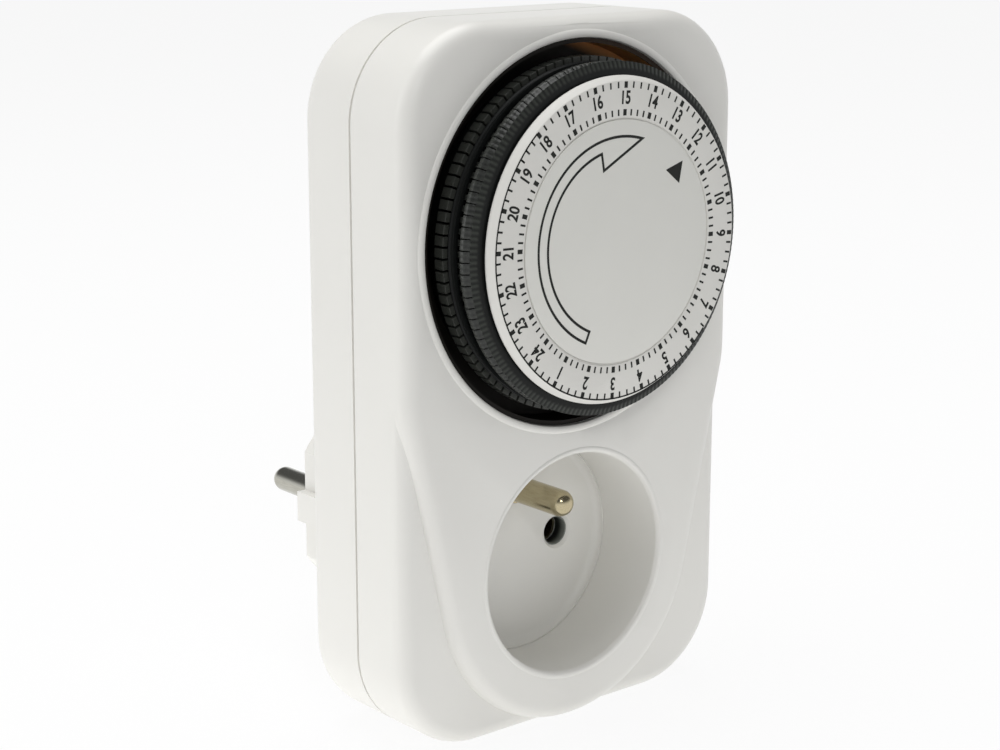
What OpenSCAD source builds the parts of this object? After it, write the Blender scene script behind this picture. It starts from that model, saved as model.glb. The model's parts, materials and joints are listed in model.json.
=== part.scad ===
// Plug-in mechanical 24-hour timer switch with an earth-pin plug and socket.
// Every piece is drawn as seen from the front: x right, y up, z forward from the
// plug's face. in_frame() then lays it in the part's frame: +X right, +Z up and
// +Y towards the wall, with the origin at the centre of the plug's face.

/* [Case] */
// Width of the case
body_w = 74; // [72:1:80]
// Height of the case
body_h = 124; // [120:1:132]
// Depth of the case, from its back face to the raised front panel
body_depth = 28; // [27:0.5:34]
// Corner radius of the case, seen from the front
body_corner_r = 17; // [14:0.5:19]
// Wall of both shells
case_wall = 2; // [1.6:0.1:2.4]
// Rounding of the front edges
front_edge_r = 3; // [2.4:0.1:3.4]
// Rounding of the back edges
back_edge_r = 2.5; // [1.5:0.1:3.5]
// Depth of the rear shell, from the back face to the joint between the shells
rear_shell_depth = 13.8; // [13:0.1:15]
// Width of the fine groove along the joint
joint_groove_w = 0.5; // [0.3:0.1:0.8]
// Depth of that groove
joint_groove_depth = 0.35; // [0.2:0.05:0.6]
// Step from the raised panel down to the lower shoulders
shoulder_drop = 2.1; // [1.6:0.1:2.6]
// Radius of the raised tongue round the socket
tongue_r = 28.8; // [27:0.1:28.9]
// Height above the socket at which the raised panel starts to narrow
knee_rise = 34.5; // [30:0.5:40]
// Radius of the bend at that height
knee_r = 20; // [10:1:26]
// Distance from the socket's centre to the bottom of the case
socket_to_bottom = 29; // [29:0.5:34]

/* [Plug] */
// Distance from the back face of the case to the plug's face
plug_reach = 31.5; // [29:0.5:34]
// Length of the plug's body, which enters the wall socket
plug_len = 19; // [18:0.5:21]
// Diameter of the plug's body
plug_d = 38.6; // [37.5:0.1:39]
// Width across the plug's two side flats
plug_flats_w = 32.6; // [32:0.1:34]
// Width across the two keys that stand on the flats
key_span = 36.4; // [35:0.1:37.2]
// Height of each key
key_h = 5.8; // [4:0.1:7]
// Diameter of the round pedestal behind the plug
pedestal_d = 47; // [45:0.5:52]
// Distance between the two contact pins
pin_pitch = 19; // [18.5:0.1:19.5]
// Diameter of a contact pin
pin_d = 4.8; // [4.4:0.1:5]
// Length of a contact pin beyond the plug's face
pin_len = 19; // [17:0.5:21]
// Height of the earth contact above the line of the pins
earth_rise = 10; // [9.6:0.1:10.6]
// Diameter of the earth hole in the plug's face
earth_hole_d = 5.3; // [5:0.1:5.8]

/* [Socket] */
// Diameter of the recess that takes a plug
recess_d = 39.5; // [39:0.1:41]
// Depth of the recess below the raised panel
recess_depth = 16; // [14:0.5:17]
// Rounding of the recess's lip
recess_lip_r = 0.8; // [0.4:0.1:1.2]
// Hollow rounding where the recess meets its floor
recess_floor_r = 1.5; // [0.8:0.1:2.2]
// Thickness of the recess's floor
recess_floor_t = 2.4; // [2:0.1:3]
// Diameter of the two contact holes
contact_hole_d = 5.5; // [5.2:0.1:6]
// Length of the socket's earth pin above the floor
earth_pin_len = 14; // [12:0.5:15]
// Length of the two sleeves that grip a plug's pins
sleeve_len = 15.2; // [12:0.2:17]
// Sheet thickness of the sleeves
sleeve_t = 0.6; // [0.4:0.1:0.7]

/* [Dial] */
// Space between the well and the sides of the case, which limits the well's diameter
well_side_gap = 4; // [3.6:0.1:5]
// Space between the well and the top of the case
well_top_gap = 3.6; // [3:0.1:5]
// Space between the well and the socket's recess
well_low_gap = 5.65; // [5:0.05:7]
// Depth of the well below the raised panel
well_depth = 12.2; // [12:0.1:12.6]
// Rounding of the well's lip
well_lip_r = 0.5; // [0.3:0.1:0.9]
// Wall of the dark liner in the well
liner_t = 0.8; // [0.6:0.1:1.2]
// Height of the liner's shelf above the movement plate
liner_shelf_rise = 4.9; // [4.8:0.1:5.4]
// Gap between the well's wall and the ring that carries the numbers
ring_gap = 5.5; // [5:0.1:6]
// Width of that ring across its face
ring_band = 6.8; // [6:0.1:7]
// Height of the ring's back edge above the panel
ring_rise = 8.3; // [8:0.1:9.5]
// Thickness of the ring
ring_t = 1.6; // [1.2:0.1:2.2]
// Sloping rim of the ring, measured across the face
ring_bevel = 0.8; // [0.4:0.1:2]
// Gap between the ring and the fixed disc in the middle
disc_gap = 0.3; // [0.3:0.1:0.8]
// Thickness of the ring's inner ledge, which runs under the disc's edge
ring_ledge_t = 0.3; // [0.3:0.1:0.4]
// Width of that ledge
ring_ledge_w = 1; // [0.8:0.1:1.4]
// Length of the disc's stem, which sits in the post
disc_stem_len = 11; // [9:0.5:12]
// Thickness of the disc's hub, which rests on the post
disc_hub_h = 2.8; // [2:0.1:3.2]
// Overhang of the ring beyond the drum's wall
drum_inset = 0.5; // [0.4:0.1:0.8]
// Thickness of the drum's wall and front
drum_wall = 1.8; // [1.2:0.1:2.4]
// Number of ribs inside the drum
drum_ribs = 6; // [3:1:8]
// Diameter of the post that the dial turns on
post_d = 8; // [6:0.5:9]

/* [Tappets] */
// Number of tappets, one for each quarter of an hour
tappet_count = 96; // [48, 96]
// Travel of a tappet when it is pushed in
tappet_travel = 1.8; // [1:0.1:1.8]
// Radial thickness of a tappet's stem
stem_t = 1.1; // [0.8:0.05:1.15]
// Radial thickness of a tappet's head
head_t = 2.3; // [2:0.1:2.6]
// Axial height of a tappet's head
head_h = 2.8; // [2.6:0.1:3.2]
// Height of a head's straight outer edge
head_edge_h = 0.8; // [0.6:0.1:1.2]
// Width of a head's flat top
head_crown = 0.5; // [0.3:0.1:0.8]
// Radial thickness of a tappet's foot
foot_t = 2.9; // [2.4:0.1:3]
// Axial height of a tappet's foot
foot_h = 2.2; // [1.2:0.1:2.4]
// Gap between the ring and the tappets' heads
head_sink = 1.1; // [0.8:0.1:1.4]
// Height of the guide ring between the heads and the feet
guide_h = 1.4; // [1.2:0.1:2.2]
// Part of the pitch that a head fills
head_share = 0.92; // [0.7:0.02:0.94]
// Part of the pitch that a foot fills
foot_share = 0.8; // [0.6:0.02:0.86]
// Part of the pitch that a stem fills
stem_share = 0.5; // [0.36:0.02:0.56]

/* [Movement] */
// Thickness of the plate that carries the movement
plate_t = 1.8; // [1.4:0.1:2]
// Gap between the idler's teeth and the well's wall, which sets the gears' module
gear_gap = 2.55; // [2:0.05:4]
// Teeth of the dial's gear
dial_teeth = 60; // [50:2:64]
// Teeth of the idler
idler_teeth = 30; // [24:2:32]
// Teeth of the motor's pinion
pinion_teeth = 12; // [12:1:16]
// Face width of the gears
gear_w = 2.8; // [2:0.1:3]
// Direction from the dial's centre to the idler, in degrees
idler_angle = -110; // [-120:1:-100]
// Direction from the idler to the pinion, in degrees
pinion_angle = 170; // [160:1:180]
// Diameter of the sealed motor
motor_d = 38; // [34:0.5:38.5]
// Gap between the motor and the left wall of the case
motor_side_gap = 3; // [2:0.5:4]
// Distance of the motor's centre below the dial's centre
motor_drop = 8; // [4:0.5:9]
// Diameter of the idler's axle
axle_d = 2.4; // [1.8:0.1:2.8]
// Diameter of the motor's shaft
shaft_d = 2; // [1.6:0.1:2.2]

/* [Switch] */
// Direction from the dial's centre to the time mark and the lever, in degrees
mark_angle = 40; // [34:1:46]
// Distance from the lever's pivot to its nose
lever_reach = 9.8; // [9:0.1:10.6]
// Width of the lever
lever_w = 4.4; // [3.6:0.1:4.6]
// Height of the lever's bar
lever_h = 3; // [2.4:0.1:3.2]
// Diameter of the lever's pin
lever_pin_d = 2; // [1.6:0.1:2.2]
// Open gap between the two contacts
contact_gap = 0.95; // [0.9:0.05:1.2]
// Thickness of the contact blade
blade_t = 0.4; // [0.3:0.05:0.5]
// Thickness of the brass strips
strip_t = 0.6; // [0.5:0.05:0.7]
// Width of the brass strips
strip_w = 4; // [3:0.2:4.4]
// Travel of the override slider
override_travel = 5; // [3:0.5:6]
// Height of the override slider above the dial's centre
override_rise = 3.6; // [0:0.2:5]

/* [Fasteners] */
// Distance of the case screws from the sides, top and bottom
screw_inset = 9.5; // [9:0.1:10.5]
// Shank diameter of the case screws
screw_d = 2.9; // [2.5:0.1:3.2]
// Head diameter of the case screws
screw_head_d = 5.6; // [5:0.1:6]
// Shank diameter of the plate screws
plate_screw_d = 2; // [1.6:0.1:2]

/* [Fits] */
// Gap between pieces that are seated in one another
seat_gap = 0.05; // [0.03:0.01:0.1]
// Gap round pieces that turn or slide
run_gap = 0.3; // [0.2:0.05:0.4]

/* [Hidden] */
$fn = 72;
hours = 24;
eps = 1;

// Levels along z
back_z = plug_reach;
floor_z = back_z + case_wall;
joint_z = back_z + rear_shell_depth;
panel_z = back_z + body_depth;
shoulder_z = panel_z - shoulder_drop;
roof_z = shoulder_z - case_wall;
plate_front_z = panel_z - well_depth;
plate_back_z = plate_front_z - plate_t;
recess_floor_z = panel_z - recess_depth;
insert_back_z = recess_floor_z - recess_floor_t;
insert_flange_t = 1.5;
sleeve_top_z = insert_back_z - insert_flange_t - 0.2;
sleeve_low_z = sleeve_top_z - sleeve_len;
earth_root_z = insert_back_z - insert_flange_t - 2.6;

// Places in the front view
low_y = -socket_to_bottom;
top_y = low_y + body_h;
pin_x = pin_pitch / 2;
pin_r = pin_d / 2;
contact_bore_r = pin_r + 0.1;
contact_out_r = contact_bore_r + sleeve_t;
earth_root_r = pin_r + 0.3;
recess_r = recess_d / 2;
recess_wall = 1.9;
well_low_y = recess_r + well_low_gap;
well_r = min(body_w / 2 - well_side_gap, (top_y - well_top_gap - well_low_y) / 2);
dial_y = well_low_y + well_r;
screw_x = body_w / 2 - screw_inset;
screw_spots = [for (x = [-screw_x, screw_x], y = [low_y + screw_inset, top_y - screw_inset]) [x, y]];
screw_boss_r = 3.4;
screw_seat_z = back_z + 8;
screw_top_z = joint_z + 6;

// Movement plate
plate_gap = 0.4;
plate_edge_x = body_w / 2 - case_wall - plate_gap;
plate_corner_r = 3;
plate_low_y = recess_r + recess_wall + 0.6;
plate_screw_low = [plate_edge_x - 4, plate_low_y + 4.5];
plate_screw_high = [plate_edge_x - 2.9, top_y - body_corner_r];
plate_screw_spots = [for (s = [-1, 1], p = [plate_screw_low, plate_screw_high]) [s * p.x, p.y]];
plate_boss_r = 2;
plate_screw_top_z = plate_front_z + 5;

// Dial and tappets
well_tube_r = well_r + 2.4;
liner_r = well_r - liner_t;
liner_shelf_t = 0.8;
ring_back_z = panel_z + ring_rise;
ring_face_z = ring_back_z + ring_t;
ring_r = well_r - ring_gap;
disc_r = ring_r - ring_band - disc_gap;
disc_back_z = ring_back_z + ring_ledge_t + run_gap;
drum_r = ring_r - drum_inset;
stem_in_r = drum_r + 0.2;
head_top_z = ring_back_z - head_sink;
head_low_z = head_top_z - head_h;
guide_top_z = head_low_z - tappet_travel - 0.1;
guide_low_z = guide_top_z - guide_h;
foot_top_z = guide_low_z - 0.2;
foot_low_z = foot_top_z - foot_h;
pushed_foot_z = foot_low_z - tappet_travel;
guide_r = drum_r + 2.3;
guide_groove = 0.25;
drum_low_z = plate_front_z + 4.7;
tappet_pitch = 360 / tappet_count;
first_hour_angle = -137.5;
hour_pitch = 360 / hours;

// Gears
addendum = 0.9;
gear_module = (well_r - gear_gap) / (dial_teeth / 2 + idler_teeth + addendum);
gear_z = plate_front_z + 1.3;
gear_hub_r = post_d / 2 + 2.5;
dial_gear_r = gear_module * dial_teeth / 2;
idler_r = gear_module * idler_teeth / 2;
pinion_r = gear_module * pinion_teeth / 2;
idler_spot = [0, dial_y] + (dial_gear_r + idler_r) * [cos(idler_angle), sin(idler_angle)];
pinion_spot = idler_spot + (idler_r + pinion_r) * [cos(pinion_angle), sin(pinion_angle)];
idler_phase = mesh_phase(idler_angle, dial_teeth, idler_teeth, idler_angle);
pinion_phase = mesh_phase(pinion_angle, idler_teeth, pinion_teeth, idler_phase);
motor_r = motor_d / 2;
motor_spot = [motor_r + motor_side_gap + case_wall - body_w / 2, dial_y - motor_drop];
motor_low_z = floor_z + 0.3;

// Switch, with u outwards from the dial's centre and v across
nose_u = stem_in_r + 1.6;
nose_t = 1.6;
lever_pivot_u = nose_u - lever_reach;
base_low_u = lever_pivot_u - 7.1;
base_high_u = lever_pivot_u + 12;
base_half_v = 5.5;
base_top_z = floor_z + 3;
fixed_strip_t = 0.5;
contact_u = lever_pivot_u + 7.5;
contact_r = 1.5;
rivet_h = 1;
blade_pivot_u = lever_pivot_u - 3;
knuckle_r = 0.3;
blade_low_z = base_top_z + fixed_strip_t + rivet_h + contact_gap + rivet_h;
blade_top_z = blade_low_z + blade_t;
lever_low_z = blade_top_z + 0.2;
lever_pivot_z = lever_low_z + lever_h / 2;
nose_top_z = pushed_foot_z - run_gap;
ear_t = 1.6;
ear_half_u = 2;
ear_top_z = lever_pivot_z + 2;

// Override slider, in a shallow track on the right side
override_y = dial_y + override_rise;
override_z = back_z + 7;
cap_len = 8;
cap_w = 5;
neck_len = 5;
neck_w = 3;
track_depth = 0.8;

// ---------------------------------------------------------------- helpers

module in_frame() {
    rotate([90, 0, 0]) children();
}

module tube(r_out, r_in, low_z, high_z) {
    translate([0, 0, low_z])
        difference() {
            cylinder(r = r_out, h = high_z - low_z);
            translate([0, 0, -eps]) cylinder(r = r_in, h = high_z - low_z + 2 * eps);
        }
}

module rod(r, low_z, high_z) {
    translate([0, 0, low_z]) cylinder(r = r, h = high_z - low_z);
}

// A box between two opposite corners
module box(a, b) {
    translate(a) cube(b - a);
}

// Outline corners run anticlockwise as [x, y, radius]
function case_corners(inset) =
    let (x = body_w / 2 - body_corner_r, low = low_y + body_corner_r, high = top_y - body_corner_r,
         r = body_corner_r - inset)
    [[x, low, r], [x, high, r], [-x, high, r], [-x, low, r]];

function panel_corners(inset) =
    let (x = body_w / 2 - body_corner_r, high = top_y - body_corner_r, knee_x = body_w / 2 - knee_r)
    [[0, 0, tongue_r - inset], [knee_x, knee_rise, knee_r - inset], [x, high, body_corner_r - inset],
     [-x, high, body_corner_r - inset], [-knee_x, knee_rise, knee_r - inset]];

// Outward direction of the straight edge that touches two corner circles
function edge_normal(a, b) =
    let (dx = b.x - a.x, dy = b.y - a.y) atan2(dy, dx) - acos((a[2] - b[2]) / norm([dx, dy]));

function after(list, i) = list[(i + 1) % len(list)];
function before(list, i) = list[(i + len(list) - 1) % len(list)];

// The outer strip of an edge, rounded at its top
module edge_bead(h, soft) {
    square([soft, h - soft]);
    translate([0, h - soft]) intersection() {
        circle(soft);
        square(soft);
    }
}

module edge_profile(r, h, soft) {
    square([r - soft, h]);
    if (soft > 0) translate([r - soft, 0]) edge_bead(h, soft);
}

// A plate whose outline runs round the corner circles, with a rounded upper edge
module soft_plate(corners, h, soft = 0) {
    last = len(corners) - 1;
    normals = [for (i = [0:last]) edge_normal(corners[i], after(corners, i))];
    linear_extrude(h) polygon([for (c = corners) [c.x, c.y]]);
    for (i = [0:last]) {
        a = corners[i];
        b = after(corners, i);
        turn = (normals[i] - before(normals, i) + 720) % 360;
        out = [cos(normals[i]), sin(normals[i])];
        a_edge = [a.x, a.y] + (a[2] - soft) * out;
        b_edge = [b.x, b.y] + (b[2] - soft) * out;
        translate([a.x, a.y]) rotate_extrude(angle = turn, start = before(normals, i))
            edge_profile(a[2], h, soft);
        linear_extrude(h) polygon([[a.x, a.y], a_edge, b_edge, [b.x, b.y]]);
        if (soft > 0) translate([b_edge.x, b_edge.y, 0]) rotate([90, 0, normals[i]])
            linear_extrude(norm(b_edge - a_edge)) edge_bead(h, soft);
    }
}

// What is cut away to round the lip of a round hole
module lip_cut(r, z, soft) {
    rotate_extrude() difference() {
        translate([r - eps, z - soft]) square([soft + eps, soft + eps]);
        translate([r + soft, z - soft]) circle(soft);
    }
}

// A round bar with a domed end at its top
module domed_rod(r, low_z, high_z) {
    rotate_extrude() {
        translate([0, low_z]) square([r, high_z - r - low_z]);
        translate([0, high_z - r]) intersection() {
            circle(r);
            square(r);
        }
    }
}

// A piece of a ring, centred on an angle
module sector(r_in, r_out, low_z, high_z, angle, width) {
    translate([0, 0, low_z]) rotate_extrude(angle = width, start = angle - width / 2)
        translate([r_in, 0]) square([r_out - r_in, high_z - low_z]);
}

// Involute gears
pressure = 25;
dedendum = 1.15;
backlash = 0.05;
function involute(r, base_r) = let (a = acos(min(1, base_r / r))) tan(a) * 180 / PI - a;
function polar(r, a) = [r * cos(a), r * sin(a)];
function mesh_phase(line, teeth_a, teeth_b, phase_a) =
    line + 180 + 360 / teeth_b * (0.5 - (phase_a - line) * teeth_a / 360);

function tooth(teeth, i) =
    let (pitch_r = gear_module * teeth / 2, base_r = pitch_r * cos(pressure),
         root_r = pitch_r - dedendum * gear_module, tip_r = pitch_r + addendum * gear_module,
         low_r = max(base_r, root_r + 0.02), mid = i * 360 / teeth,
         half = 90 / teeth - backlash / pitch_r * 180 / PI + involute(pitch_r, base_r),
         low = half - involute(low_r, base_r), pitch = half - involute(pitch_r, base_r),
         tip = half - involute(tip_r, base_r))
    [polar(root_r, mid - low), polar(low_r, mid - low), polar(pitch_r, mid - pitch), polar(tip_r, mid - tip),
     polar(tip_r, mid + tip), polar(pitch_r, mid + pitch), polar(low_r, mid + low), polar(root_r, mid + low)];

module spur_gear(teeth, phase, bore_r) {
    translate([0, 0, gear_z]) rotate([0, 0, phase]) difference() {
        linear_extrude(gear_w) polygon([for (i = [0:teeth - 1]) each tooth(teeth, i)]);
        translate([0, 0, -eps]) cylinder(r = bore_r, h = gear_w + 2 * eps);
    }
}

module at_dial() {
    translate([0, dial_y, 0]) children();
}

// Along the line from the dial's centre to the time mark
module at_mark() {
    at_dial() rotate([0, 0, mark_angle]) children();
}

// ---------------------------------------------------------------- case

module plug_section(shrink) {
    intersection() {
        circle(plug_d / 2 - shrink);
        square([plug_flats_w - 2 * shrink, plug_d], center = true);
    }
}

module plug_shape() {
    linear_extrude(plug_len) plug_section(0);
    intersection() {
        rod(plug_d / 2, 0, plug_len);
        box([-key_span / 2, -key_h / 2, 0], [key_span / 2, key_h / 2, plug_len]);
    }
    rod(pedestal_d / 2, plug_len, back_z);
}

module plug_hollow() {
    translate([0, 0, 3]) linear_extrude(plug_len - 1) plug_section(case_wall);
    rod(pedestal_d / 2 - case_wall, plug_len + case_wall, floor_z + eps);
}

module override_cuts() {
    track_len = cap_len + override_travel + 1.2;
    track_mid = override_y + override_travel / 2;
    box([body_w / 2 - track_depth, track_mid - track_len / 2, override_z - cap_w / 2 - 0.6],
        [body_w / 2 + eps, track_mid + track_len / 2, override_z + cap_w / 2 + 0.6]);
    slot_half = (neck_len + override_travel) / 2 + 0.2;
    box([body_w / 2 - case_wall - eps, track_mid - slot_half, override_z - neck_w / 2 - 0.2],
        [body_w / 2, track_mid + slot_half, override_z + neck_w / 2 + 0.2]);
}

module rear_housing() {
    color("whitesmoke") in_frame() difference() {
        union() {
            difference() {
                union() {
                    translate([0, 0, joint_z - joint_groove_w]) mirror([0, 0, 1])
                        soft_plate(case_corners(0), rear_shell_depth - joint_groove_w, back_edge_r);
                    translate([0, 0, joint_z - joint_groove_w])
                        soft_plate(case_corners(joint_groove_depth), joint_groove_w);
                    plug_shape();
                }
                translate([0, 0, floor_z]) soft_plate(case_corners(case_wall), rear_shell_depth);
                plug_hollow();
            }
            for (p = screw_spots) translate([p.x, p.y]) rod(screw_head_d / 2 + 1.8, back_z + eps, joint_z);
            for (s = [-1, 1]) translate([s * pin_x, 0]) rod(pin_r + 1.6, 1, 3.4);
            translate([0, earth_rise]) rod(contact_out_r + 1, 1, plug_len - 2);
        }
        for (p = screw_spots) translate([p.x, p.y]) {
            rod(screw_head_d / 2 + 0.3, back_z - eps, screw_seat_z);
            rod(screw_d / 2 + 0.2, back_z, joint_z + eps);
        }
        for (s = [-1, 1]) translate([s * pin_x, 0]) rod(pin_r + seat_gap, -eps, 5);
        translate([0, earth_rise]) {
            rod(earth_hole_d / 2, -eps, 4);
            rod(contact_out_r + seat_gap, 3, plug_len);
        }
        override_cuts();
    }
}

// The raised panel narrows to a tongue round the socket, with a rounded edge all round
module raised_panel(h) {
    hull() for (c = panel_corners(0)) translate([c.x, c.y])
        rotate_extrude($fn = 96) edge_profile(c[2], h, front_edge_r, $fn = 32);
}

module front_blank() {
    translate([0, 0, joint_z]) {
        raised_panel(panel_z - joint_z);
        soft_plate([for (c = case_corners(0)) c.y < dial_y ? c : [c.x, dial_y - body_corner_r, c[2]]],
                   shoulder_z - joint_z, front_edge_r);
    }
}

module front_hollow() {
    translate([0, 0, joint_z - eps]) {
        soft_plate(case_corners(case_wall), roof_z - joint_z + eps);
        linear_extrude(panel_z - case_wall - joint_z + eps)
            hull() for (c = panel_corners(case_wall + 0.4)) translate([c.x, c.y]) circle(c[2]);
    }
}

// Inner face of the front wall, which lies deeper under the shoulders
function inner_top_z(p) = p.y > 0 ? panel_z - case_wall : roof_z;

module front_housing() {
    insert_r = recess_r + recess_wall;
    color("whitesmoke") in_frame() difference() {
        union() {
            difference() {
                front_blank();
                front_hollow();
            }
            at_dial() rod(well_tube_r, plate_front_z, panel_z - 0.5);
            rod(insert_r, insert_back_z, panel_z - 0.5);
            for (p = screw_spots) translate([p.x, p.y]) rod(screw_boss_r, joint_z, inner_top_z(p) + 0.5);
            for (p = plate_screw_spots) translate([p.x, p.y])
                rod(plate_boss_r, plate_front_z, inner_top_z(p) + 0.5);
        }
        at_dial() {
            rod(well_r, plate_front_z - eps, panel_z + eps);
            lip_cut(well_r, panel_z, well_lip_r);
        }
        rod(recess_r, insert_back_z - eps, panel_z + eps);
        lip_cut(recess_r, panel_z, recess_lip_r);
        for (p = screw_spots) translate([p.x, p.y])
            rod(screw_d / 2 + seat_gap, joint_z - eps, screw_top_z + 1);
        for (p = plate_screw_spots) translate([p.x, p.y])
            rod(plate_screw_d / 2 + seat_gap, plate_front_z - eps, plate_screw_top_z + 1);
    }
}

// Floor of the socket, set into the recess from behind
module socket_insert() {
    rim_t = 0.25;
    body_r = recess_r - seat_gap;
    hollow_r = body_r - rim_t - recess_floor_r;
    rim_z = recess_floor_z + recess_floor_r;
    hole_r = contact_hole_d / 2;
    color("whitesmoke") in_frame() difference() {
        union() {
            rotate_extrude() difference() {
                translate([0, insert_back_z - 0.5]) square([body_r, rim_z - insert_back_z + 0.5]);
                translate([0, recess_floor_z]) square([hollow_r, recess_floor_r + eps]);
                translate([hollow_r, rim_z]) intersection() {
                    circle(recess_floor_r);
                    translate([0, -recess_floor_r]) square(recess_floor_r);
                }
            }
            rod(recess_r + recess_wall, insert_back_z - insert_flange_t, insert_back_z);
        }
        for (s = [-1, 1]) translate([s * pin_x, 0]) {
            rod(hole_r, back_z, recess_floor_z + eps);
            translate([0, 0, recess_floor_z - 0.5]) cylinder(r1 = hole_r, r2 = hole_r + 0.6, h = 0.6);
        }
        translate([0, earth_rise]) rod(earth_root_r + seat_gap, back_z, recess_floor_z + eps);
    }
}

module housing_screws() {
    head_h = 2.2;
    color("silver") in_frame() for (p = screw_spots) translate([p.x, p.y]) difference() {
        union() {
            rod(screw_head_d / 2, screw_seat_z - head_h, screw_seat_z);
            rod(screw_d / 2, screw_seat_z - 0.5, screw_top_z);
        }
        for (a = [0, 90]) translate([0, 0, screw_seat_z - head_h]) rotate([0, 0, a])
            cube([screw_head_d * 0.6, 0.6, 2.2], center = true);
    }
}

// ---------------------------------------------------------------- plug and socket metal

tail_z = 5;
earth_sleeve_z = 4.4;

// One contact pin, with the flange that rests on the plug's inner face
module plug_pin() {
    rotate([180, 0, 0]) domed_rod(pin_r, -tail_z, pin_len);
    rod(pin_r + 1, 3.4, 4.2);
}

module live_pin() {
    color("silver") in_frame() translate([pin_x, 0]) plug_pin();
}

module neutral_pin() {
    color("silver") in_frame() translate([-pin_x, 0]) plug_pin();
}

// A sheet tube with a slit, which springs onto a pin
module sleeve(bore_r, low_z, high_z) {
    difference() {
        tube(bore_r + sleeve_t, bore_r, low_z, high_z);
        box([-0.5, -bore_r - 2, low_z - eps], [0.5, 0, high_z + eps]);
    }
}

module plug_earth_sleeve() {
    color("goldenrod") in_frame() translate([0, earth_rise])
        sleeve(contact_bore_r, earth_sleeve_z, plug_len - 2);
}

module earth_strip() {
    low_z = plug_len - 2;
    riser_y = earth_rise + 3;
    color("goldenrod") in_frame() {
        box([-strip_w / 2, earth_rise - 3, low_z], [strip_w / 2, riser_y, low_z + strip_t]);
        box([-strip_w / 2, riser_y - strip_t, low_z], [strip_w / 2, riser_y, earth_root_z]);
        box([-strip_w / 2, earth_rise - 2, earth_root_z - strip_t], [strip_w / 2, riser_y, earth_root_z]);
    }
}

module socket_earth_pin() {
    flange_top_z = insert_back_z - insert_flange_t;
    color("goldenrod") in_frame() translate([0, earth_rise]) {
        domed_rod(pin_r, recess_floor_z, recess_floor_z + earth_pin_len);
        rod(earth_root_r, earth_root_z, recess_floor_z);
        rod(earth_root_r + 0.9, flange_top_z - 1.2, flange_top_z);
    }
}

module live_contact() {
    color("goldenrod") in_frame() translate([pin_x, 0]) sleeve(contact_bore_r, sleeve_low_z, sleeve_top_z);
}

module neutral_contact() {
    color("goldenrod") in_frame() translate([-pin_x, 0]) sleeve(contact_bore_r, sleeve_low_z, sleeve_top_z);
}

// From the neutral pin's tail up to the sleeve in front of it
module neutral_link() {
    riser_x = pin_x + contact_out_r;
    color("goldenrod") in_frame() mirror([1, 0, 0]) {
        box([pin_x - 2, -strip_w / 2, tail_z], [riser_x + strip_t, strip_w / 2, tail_z + strip_t]);
        box([riser_x, -strip_w / 2, tail_z], [riser_x + strip_t, strip_w / 2, sleeve_low_z + 5]);
    }
}

run_low_z = floor_z + 0.2;
tab_u = lever_pivot_u + 3;
foot_spot = [tab_u + strip_w / 2, -base_half_v - strip_w / 2];
run_x = foot_spot.x * cos(mark_angle) - foot_spot.y * sin(mark_angle) - strip_w / 2;
run_high_y = dial_y + foot_spot.x * sin(mark_angle) + foot_spot.y * cos(mark_angle);

// From the live pin's tail to the switch's fixed contact
module live_link() {
    riser_x = pin_x + contact_out_r + strip_t;
    foot_v = -base_half_v - strip_w;
    color("goldenrod") in_frame() {
        box([pin_x - 2, -strip_w / 2, tail_z], [riser_x + strip_t, strip_w / 2, tail_z + strip_t]);
        box([riser_x, -strip_w / 2, tail_z], [riser_x + strip_t, strip_w / 2, run_low_z + strip_t]);
        box([riser_x, -strip_w / 2, run_low_z], [run_x + strip_w, strip_w / 2, run_low_z + strip_t]);
        box([run_x, -strip_w / 2, run_low_z], [run_x + strip_w, run_high_y, run_low_z + strip_t]);
        at_mark() {
            box([tab_u, foot_v, run_low_z], [tab_u + strip_w, -base_half_v - 0.05, run_low_z + strip_t]);
            box([tab_u, -base_half_v - 0.05 - strip_t, run_low_z],
                [tab_u + strip_w, -base_half_v - 0.05, base_top_z]);
        }
    }
}

// From the blade's root to the sleeve of the live contact
module switched_live_link() {
    run_z = base_top_z + 0.5;
    half = strip_w / 2;
    end_x = (base_low_u - strip_t / 2) * cos(mark_angle);
    end_y = dial_y + (base_low_u - strip_t / 2) * sin(mark_angle);
    color("goldenrod") in_frame() {
        difference() {
            box([end_x - half, contact_out_r, run_z], [end_x + half, end_y, run_z + strip_t]);
            at_mark() box([base_low_u - seat_gap, -base_half_v, run_z - eps],
                          [base_high_u, base_half_v, run_z + strip_t + eps]);
        }
        at_mark() {
            box([base_low_u - strip_t - 1, -half + 1, run_z], [base_low_u - 0.05, half - 1, run_z + strip_t]);
            box([base_low_u - strip_t, -half + 0.4, run_z], [base_low_u - 0.05, half - 0.4, blade_top_z]);
            box([base_low_u - strip_t, -half + 0.4, blade_low_z],
                [blade_pivot_u - knuckle_r - seat_gap, half - 0.4, blade_top_z]);
        }
    }
}

// ---------------------------------------------------------------- movement

module movement_plate() {
    low = plate_low_y + plate_corner_r;
    low_x = plate_edge_x - plate_corner_r;
    high = case_corners(case_wall + plate_gap);
    low_z = plate_back_z - eps;
    high_z = plate_front_z + eps;
    color("dimgray") in_frame() difference() {
        translate([0, 0, plate_back_z])
            soft_plate([[low_x, low, plate_corner_r], high[1], high[2], [-low_x, low, plate_corner_r]],
                       plate_t);
        for (p = screw_spots) translate([p.x, p.y]) rod(screw_boss_r + 1, low_z, high_z);
        for (p = plate_screw_spots) translate([p.x, p.y]) rod(plate_screw_d / 2 + 0.1, low_z, high_z);
        translate(pinion_spot) rod(pinion_r + 0.5, low_z, high_z);
        translate(idler_spot) rod(axle_d / 2 + seat_gap, low_z, high_z);
        at_mark() box([nose_u - 1.4, -2.6, low_z], [nose_u + nose_t + 1.9, 2.6, high_z]);
    }
}

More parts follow.
